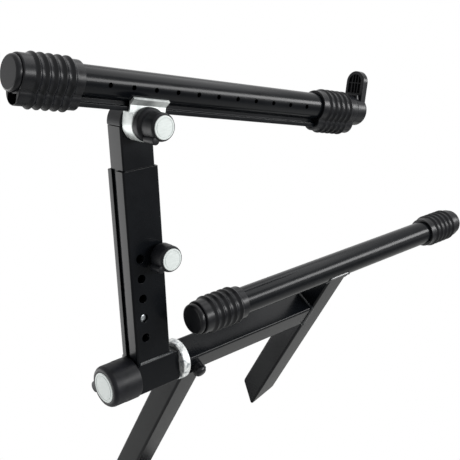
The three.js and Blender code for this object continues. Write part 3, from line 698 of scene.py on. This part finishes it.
snapSizes = {"radius": 4.5, "seat": -10.2, "tip": 2.55, "z": 71.3}
sr = snapSizes["radius"]
snap = spun("snap", [(0, -2.5), (sr + 2.5, -2.5), (sr + 2.5, 0), (sr, 0.1), (sr, 0.9),
                     (sr - 0.3, 1.6), (sr - 1.0, 2.1), (sr - 2.2, 2.4), (0, snapSizes["tip"])], 48)
turned(snap, -90, "Y")
moved(snap, x=snapSizes["seat"], y=postSizes["holeY"], z=snapSizes["z"])
setPair(snap, "spring_button", "post", "button", platedSteel, "plated_steel", "snap_button")
print("posts stood up")


# Grip knobs.
def knobGrip(name, radius, length, discRadius, lug, collar, start, stud):
    # lug: its angle, radius and place outside the grip
    lugAngle, lugRadius, lugOut = lug
    top = start + length
    cheek = min(5.0, radius * 0.24)
    waist = start + length * 0.45
    profile = collar + [(radius - 0.5, start + 0.7), (radius, start + 2.0), (radius, waist),
                        (radius - 0.25, waist + 0.5), (radius - 0.25, top - cheek),
                        (radius - 0.25 - cheek * 0.12, top - cheek * 0.55),
                        (radius - cheek * 0.42, top - cheek * 0.2), (radius - cheek * 0.75, top),
                        (discRadius + 0.9, top), (discRadius + 0.35, top - 0.3),
                        (discRadius + 0.3, top - 1.2), (0, top - 1.2)]
    grip = spun(name, profile, 80)
    lugTop = top - 1.5
    boss = spun("lug", [(0, start + 1.5), (lugRadius - 0.8, start + 1.5), (lugRadius, start + 2.3),
                        (lugRadius, lugTop - 1.4), (lugRadius - 0.4, lugTop - 0.5),
                        (lugRadius - 1.3, lugTop), (0, lugTop)], 40)
    web = block("web", (0, 0.3 - lugRadius, start + 2.0),
                (radius + lugOut, lugRadius - 0.3, lugTop - 0.6))
    rounded(web, 1.0, 2)
    moved(boss, x=radius + lugOut)
    boss = turned(joined("lug", boss, web), lugAngle, "Z")
    rod = spun("stud", [(0, -stud), (4.4, -stud), (5.0, 0.6 - stud), (5.0, 1.0), (0, 1.0)], 32)
    return joined(name, grip, boss, rod)


def knobFace(name, discRadius, top):
    # pale disc with one turned groove near its rim
    return spun(name, [(0, top - 0.9), (discRadius - 0.1, top - 0.9), (discRadius, top - 0.6),
                       (discRadius, top + 0.2), (discRadius - 0.5, top + 0.55),
                       (discRadius * 0.86, top + 0.6), (discRadius * 0.84, top + 0.2),
                       (discRadius * 0.80, top + 0.2), (discRadius * 0.78, top + 0.6),
                       (0, top + 0.7)], 72)


baseKnobSizes = {"radius": 24.0, "length": 36.5, "disc": 17.2, "lug": (20.0, 6.5, 0.5),
                 "seat": 73.1, "stud": 88.4}
bk = baseKnobSizes
baseGrip = knobGrip("knob", bk["radius"], bk["length"], bk["disc"], bk["lug"],
                    [(0, 0), (bk["radius"] - 2.0, 0)], 0.0, bk["stud"])
setPair(moved(turned(baseGrip, -90, "X"), y=bk["seat"]), "swivel_knob", "post", "base_grip", nylon,
        "knob_plastic", "base_knob")
baseFace = knobFace("disc", bk["disc"], bk["length"])
setPair(moved(turned(baseFace, -90, "X"), y=bk["seat"]), "swivel_knob_disc", "post", "base_grip",
        discFoil, "disc_plastic", "base_disc")

sideKnobSizes = {"radius": 15.0, "length": 20.0, "disc": 12.2, "heightLug": (124.0, 4.6, 0.6),
                 "tiltLug": (141.0, 4.6, 0.6), "neck": 4.0, "neckRadius": 9.0, "heightStud": 2.5,
                 "heightY": 34.6, "heightZ": 139.3, "skirt": 18.0, "skirtLength": 9.5,
                 "boltPast": 7.3}
sk = sideKnobSizes
neck = sk["neck"]
neckCollar = [(0, 0), (sk["neckRadius"], 0), (sk["neckRadius"], neck),
              (sk["radius"] - 1.5, neck + 0.2)]
heightGrip = knobGrip("knob", sk["radius"], sk["length"], sk["disc"], sk["heightLug"],
                      neckCollar, neck, sk["heightStud"])
heightPlace = {"x": -hx - gap, "y": sk["heightY"], "z": sk["heightZ"]}
setPair(moved(turned(heightGrip, -90, "Y"), **heightPlace), "height_grip_knob", "post",
        "height_grip", nylon, "knob_plastic", "height_knob")
heightFace = knobFace("disc", sk["disc"], neck + sk["length"])
setPair(moved(turned(heightFace, -90, "Y"), **heightPlace), "height_knob_disc", "post",
        "height_grip", discFoil, "disc_plastic", "height_disc")

jawSizes = {"thick": 17.6, "radius": 18.5, "length": 45.0, "lip": 3.2, "lipTop": -12.0,
            "foot": 222.0}
skirt = sk["skirt"]
tiltCollar = [(0, 0), (skirt - 0.6, 0), (skirt, 0.7), (skirt, sk["skirtLength"] - 3.2),
              (skirt - 0.5, sk["skirtLength"] - 1.6), (skirt - 1.6, sk["skirtLength"] - 0.4),
              (sk["radius"] + 0.6, sk["skirtLength"])]
tiltSeat = -ix - gap - jawSizes["thick"] - gap
tiltGrip = knobGrip("knob", sk["radius"], sk["length"], sk["disc"], sk["tiltLug"], tiltCollar,
                    sk["skirtLength"], -tiltSeat + ix + sk["boltPast"])
setPair(moved(turned(tiltGrip, -90, "Y"), x=tiltSeat), "tilt_grip_knob", "bolt", "tilt_grip", nylon,
        "knob_plastic", "tilt_knob")
tiltFace = knobFace("disc", sk["disc"], sk["skirtLength"] + sk["length"])
setPair(moved(turned(tiltFace, -90, "Y"), x=tiltSeat), "tilt_knob_disc", "bolt", "tilt_grip",
        discFoil, "disc_plastic", "tilt_disc")


def hexNut(name, radius, thick, bore):
    corners = [(radius * cos(pi * k / 3), radius * sin(pi * k / 3)) for k in range(6)]
    nut = rounded(outlined(name, corners, 0, thick), 0.7, 2, 20)
    return carved(nut, borer(bore, thick * 4, "Y", [(0, 0, 0)]))


nutSizes = {"radius": 9.0, "thick": 6.0, "bore": 5.3}
nut = hexNut("nut", nutSizes["radius"], nutSizes["thick"], nutSizes["bore"])
moved(turned(nut, -90, "Z"), x=ix + gap)
setPair(nut, "tilt_bolt_nut", "bolt", "post_upper", platedSteel, "plated_steel", "tilt_nut")
print("knobs turned")

# Clamp jaw that grips the rail.
faceX = -ix - gap
outerX = faceX - jawSizes["thick"]
pocketTop = stand["railRise"] + railSizes["bottom"] - gap
jr = jawSizes["radius"]
profile = [(jr * cos(pi + pi * k / 36), jr * sin(pi + pi * k / 36)) for k in range(37)]
jawBlock = outlined("jaw", profile + [(jr, pocketTop), (-jr, pocketTop)], faceX, outerX)
turned(jawBlock, 90, "Z")
jawBlock.data.transform(Matrix.Scale(-1, 4, (1, 0, 0)))
outwardFaces(jawBlock)
hug = stand["tubeRadius"] + gap
railSide = -railSizes["half"] - 0.5
lowAngle = pi + acos(-railSide / hug)
highAngle = pi + asin(-jawSizes["lipTop"] / (hug + jawSizes["lip"]))
footAngle = radians(jawSizes["foot"])
inner = [lowAngle + (highAngle - lowAngle) * k / 10 for k in range(11)]
outer = [highAngle + (footAngle - highAngle) * k / 6 for k in range(7)]
lipShape = [(railSide, pocketTop - stand["railRise"] - 1)]
lipShape += [(hug * cos(a), hug * sin(a)) for a in inner]
lipShape += [((hug + jawSizes["lip"]) * cos(a), (hug + jawSizes["lip"]) * sin(a)) for a in outer]
lipShape += [(outerX + stand["railOffset"], skirt + 0.5 - stand["railRise"]),
             (outerX + stand["railOffset"], pocketTop - stand["railRise"] - 1)]
lip = outlined("lip", lipShape, -jawSizes["length"] / 2, jawSizes["length"] / 2)
moved(lip, x=-stand["railOffset"], z=stand["railRise"])
rounded(jawBlock, 0.9, 3, 40)
rounded(lip, 0.5, 2, 40)
setPair(joined("jaw", jawBlock, lip), "rail_clamp", "head", "jaw", castAluminium, "cast_aluminium",
        "clamp_jaw")

# End stop.
stopSizes = {"radius": 18.5, "height": 50.0, "width": 28.0, "thick": 9.0, "set": 2.0, "rim": 4.0,
             "recess": 3.0, "bar": 1.0, "barPitch": 4.6, "crossZ": 34.5}
st = stopSizes["radius"]
barrel = spun("barrel", [(0, 0), (st - 3.5, 0), (st - 2.0, 0.4), (st - 0.8, 1.4), (st - 0.2, 2.8),
                         (st, 4.5), (st, stopLength - 0.5), (st - 0.4, stopLength),
                         (0, stopLength)], 96)
moved(turned(barrel, -90, "X"), y=stopFront)
panelHalf = stopSizes["width"] / 2
arcMiddle = stopSizes["height"] - panelHalf
arc = [(panelHalf * cos(pi * k / 28), arcMiddle + panelHalf * sin(pi * k / 28)) for k in range(29)]
paddleFront = stopFront + stopSizes["set"]
paddleBack = paddleFront + stopSizes["thick"]
paddle = outlined("paddle", arc + [(-panelHalf, 0), (panelHalf, 0)], paddleFront, paddleBack)
rounded(paddle, 1.0, 3, 40)
rimHalf = panelHalf - stopSizes["rim"]
rimArc = [(rimHalf * cos(pi * k / 24), arcMiddle + rimHalf * sin(pi * k / 24)) for k in range(25)]
floorZ = st + stopSizes["rim"]
carved(paddle, outlined("cutter", rimArc + [(-rimHalf, floorZ), (rimHalf, floorZ)],
                        paddleBack - stopSizes["recess"], paddleBack + 4))
bars = []
barFront = paddleBack - stopSizes["recess"] - 0.5
barHalf = stopSizes["bar"] / 2
for x in (-stopSizes["barPitch"], 0.0, stopSizes["barPitch"]):
    reach = arcMiddle + sqrt(rimHalf ** 2 - x ** 2) + 0.5
    bars.append(block("bar", (x - barHalf, barFront, floorZ - 0.5),
                      (x + barHalf, paddleBack - 0.4, reach)))
bars.append(block("bar", (-rimHalf - 0.5, barFront, stopSizes["crossZ"]),
                  (rimHalf + 0.5, paddleBack - 0.6, stopSizes["crossZ"] + 1.2)))
grid = rounded(joined("grid", *bars), 0.25, 1)
gussetTop = floorZ - 1.5
gusset = outlined("gusset", [(-panelHalf + 2, 12.0), (panelHalf - 2, 12.0),
                             (panelHalf - 4, gussetTop), (-panelHalf + 4, gussetTop)],
                  paddleBack - 0.5, paddleBack + 5.5)
rounded(gusset, 1.6, 3)
setPair(joined("stop", barrel, paddle, grid, gusset), "end_stop_paddle", "rail", "stop", capRubber,
        "rubber", "end_stop")
print("clamps and stops made")

# Fold pivot and its lock.
pivotSizes = {"rod": 6.0, "head": 11.0, "headThick": 7.0, "plate": 62.0, "groove": 48.0, "pin": 4.0,
              "grooveDepth": 2.0, "holes": 5, "step": 20.0}
pv = pivotSizes


def along(node):
    low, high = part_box(node)
    return low[1] / mm - shiftY, high[1] / mm - shiftY


y0, y1 = along("pivot_axle")
headEnd = y0 + pv["headThick"]
axle = spun("axle", [(0, y0), (pv["head"] - 2.6, y0), (pv["head"] - 0.9, y0 + 0.9),
                     (pv["head"], y0 + 2.6), (pv["head"], headEnd - 0.4),
                     (pv["head"] - 0.4, headEnd), (pv["rod"], headEnd), (pv["rod"], y1 - 0.8),
                     (pv["rod"] - 0.8, y1), (0, y1)], 48)
turned(axle, -90, "X")
setOne(axle, "fold_axle", "left", "frame", "left_frame", platedSteel, "plated_steel", "pivot_axle")
y0, y1 = along("pivot_nut")
foldNut = moved(hexNut("nut", pv["head"], pv["headThick"], pv["rod"] + gap), y=y0)
setOne(foldNut, "fold_axle_nut", "left", "frame", "left_frame", platedSteel, "plated_steel",
       "pivot_nut")
y0, y1 = along("lock_plate")
gOut, gIn = pv["groove"] + pv["pin"] + 0.5, pv["groove"] - pv["pin"] - 0.5
plateBore, grooveFloor = pv["rod"] + gap, y1 - pv["grooveDepth"]
plate = spun("plate", [(plateBore, y0), (pv["plate"] - 0.6, y0), (pv["plate"], y0 + 0.6),
                       (pv["plate"], y1 - 0.6), (pv["plate"] - 0.6, y1), (gOut, y1),
                       (gOut, grooveFloor), (gIn, grooveFloor), (gIn, y1), (plateBore, y1),
                       (plateBore, y0)], 120)
turned(plate, -90, "X")
lockHoles = []
for k in range(pv["holes"]):
    turn = radians(2 * stand["legLean"] + (k - (pv["holes"] - 1) / 2) * pv["step"])
    lockHoles.append((-pv["groove"] * sin(turn), (y0 + y1) / 2, -pv["groove"] * cos(turn)))
carved(plate, borer(pv["pin"] + 0.5, 14.0, "Y", lockHoles))
setOne(plate, "fold_lock_plate", "left", "frame", "left_frame", platedSteel, "plated_steel",
       "lock_plate")

triggerSizes = {"half": 13.0, "height": 44.0, "thick": 13.0, "scoop": 9.0, "scoopOut": 4.5,
                "scoopDrop": 2.0}
y0, y1 = along("lock_trigger")
tg = triggerSizes
handleStart = y1 - tg["thick"]
ends = tg["height"] / 2 - tg["half"]
pill = [(tg["half"] * cos(pi * k / 20), ends + tg["half"] * sin(pi * k / 20)) for k in range(21)]
pill += [(-tg["half"] * cos(pi * k / 20), -ends - tg["half"] * sin(pi * k / 20)) for k in range(21)]
handle = outlined("handle", pill, handleStart, y1)
carved(handle, borer(tg["scoop"], 60.0, "X", [(0, y1 + tg["scoopOut"], -tg["scoopDrop"])], 48))
rounded(handle, 1.2, 3, 40)
pinEnd = handleStart + 1
pin = spun("pin", [(0, y0), (pv["pin"] - 0.6, y0), (pv["pin"], y0 + 0.6), (pv["pin"], pinEnd),
                   (0, pinEnd)], 32)
turned(pin, -90, "X")
trigger = moved(joined("trigger", handle, pin), z=-pv["groove"])
setOne(trigger, "fold_lock_trigger", "right", "frame", "lock_trigger", nylon, "knob_plastic",
       "lock_trigger")
for spare in (axle, foldNut, plate, trigger):
    bpy.data.objects.remove(spare, do_unlink=True)
print("fold lock fitted")

# Floor, light and background.
studio = {"floor": "#DEDEDC", "floorSize": 12, "floorRoughness": 0.8, "dim": 0.45}
clearSelection()
bpy.ops.mesh.primitive_plane_add(size=studio["floorSize"], location=(0, 0, 0))
floor = bpy.context.object
floor.name = "studioFloor"
floorFinish = bpy.data.materials.new("paintedStudioFloor")
floorFinish.use_nodes = True
floorShader = floorFinish.node_tree.nodes["Principled BSDF"]
floorShader.inputs["Base Color"].default_value = colour(studio["floor"])
floorShader.inputs["Roughness"].default_value = studio["floorRoughness"]
floor.data.materials.append(floorFinish)

world = bpy.data.worlds.new("studioWorld")
bpy.context.scene.world = world
world.use_nodes = True
sky = world.node_tree
sky.nodes.clear()
rays = addNode(sky, "ShaderNodeLightPath")
direct = addNode(sky, "ShaderNodeMath",
                 {0: rays.outputs["Is Camera Ray"], 1: rays.outputs["Is Glossy Ray"]},
                 operation="MAXIMUM")
seen = addNode(sky, "ShaderNodeMath",
               {0: direct.outputs[0], 1: rays.outputs["Is Transmission Ray"]},
               operation="MAXIMUM")
white = colour("#FFFFFF")
dimmed = addNode(sky, "ShaderNodeBackground", {"Color": white, "Strength": studio["dim"]})
bright = addNode(sky, "ShaderNodeBackground", {"Color": white, "Strength": 1.0})
blend = addNode(sky, "ShaderNodeMixShader",
                {0: seen.outputs[0], 1: dimmed.outputs[0], 2: bright.outputs[0]})
addNode(sky, "ShaderNodeOutputWorld", {"Surface": blend.outputs[0]})


def softBox(name, place, target, width, height, power):
    lamp = bpy.data.lights.new(name, "AREA")
    lamp.shape = "RECTANGLE"
    lamp.size, lamp.size_y = width, height
    lamp.energy = power
    holder = bpy.data.objects.new(name, lamp)
    bpy.context.scene.collection.objects.link(holder)
    holder.location = place
    holder.rotation_euler = (Vector(target) - Vector(place)).to_track_quat("-Z", "Y").to_euler()
    holder.visible_camera = False


armEnd = Vector((armAxis.x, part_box("left_support_cap_back")[1][1], armAxis.z))
# each lamp: its place from the arm's end, width, height and watts
lamps = {
    "sideStrip": ((-1.45, -1.25, 0.6), 2.0, 0.45, 44.0),
    "topPanel": ((0.0, -0.9, 1.3), 1.4, 1.0, 9.0),
    "backPanel": ((1.27, 1.12, -0.45), 2.0, 0.9, 20.0),
}
for name, (offset, width, height, watts) in lamps.items():
    softBox(name, armEnd + Vector(offset), armEnd, width, height, watts)

# Camera.
shot = {"fromArm": (-0.66169, 0.53199, 0.41091), "yaw": 48.52, "pitch": 19.25, "roll": -0.29,
        "focalPixels": 840.79, "principal": (227.12, 222.54), "imageSize": 460.0,
        "sensor": 36.0, "near": 0.02, "reach": 1.25}
camera = bpy.data.cameras.new("shotCamera")
viewer = bpy.data.objects.new("shotCamera", camera)
bpy.context.scene.collection.objects.link(viewer)
yaw, pitch, roll = radians(shot["yaw"]), radians(shot["pitch"]), radians(shot["roll"])
ahead = Vector((cos(pitch) * sin(yaw), -cos(pitch) * cos(yaw), -sin(pitch)))
levelRight = Vector((-cos(yaw), -sin(yaw), 0))
levelUp = levelRight.cross(ahead)
right = cos(roll) * levelRight + sin(roll) * levelUp
up = cos(roll) * levelUp - sin(roll) * levelRight
spot = armEnd + Vector(shot["fromArm"])
viewer.matrix_world = Matrix.Translation(spot) @ Matrix((right, up, -ahead)).transposed().to_4x4()
camera.sensor_width = shot["sensor"]
camera.lens = shot["focalPixels"] / shot["imageSize"] * camera.sensor_width
camera.shift_x = (shot["imageSize"] / 2 - shot["principal"][0]) / shot["imageSize"]
camera.shift_y = (shot["principal"][1] - shot["imageSize"] / 2) / shot["imageSize"]
camera.clip_start = shot["near"]
camera.clip_end = shot["reach"]     # the picture shows only the near side of the stand
bpy.context.scene.camera = viewer
bpy.context.scene.view_settings.view_transform = "Standard"
clearSelection()
print("camera set", degrees(camera.angle))
